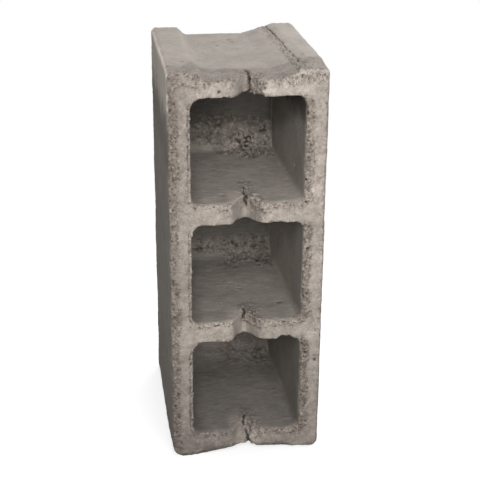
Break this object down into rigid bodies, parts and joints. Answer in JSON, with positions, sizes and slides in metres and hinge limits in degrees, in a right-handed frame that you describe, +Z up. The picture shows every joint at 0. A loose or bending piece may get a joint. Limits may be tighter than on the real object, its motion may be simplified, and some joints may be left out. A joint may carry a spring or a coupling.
{
  "type": "hollow concrete block",
  "caption": "Rectangular hollow concrete block with blind square cores, notched webs and a mortar groove in each end, standing on one end.",
  "frame": {"origin": "middle of the lower end of the block, as it stands", "axes": "+Z up along the course, +Y along the cores from the open bed to the closed bed, +X through the wall"},
  "size_m": [0.15, 0.2, 0.4],
  "materials": {
    "concrete": "rough matte"
  },
  "bodies": {
    "root": {"hollow_block": "concrete"}
  },
  "joints": []
}
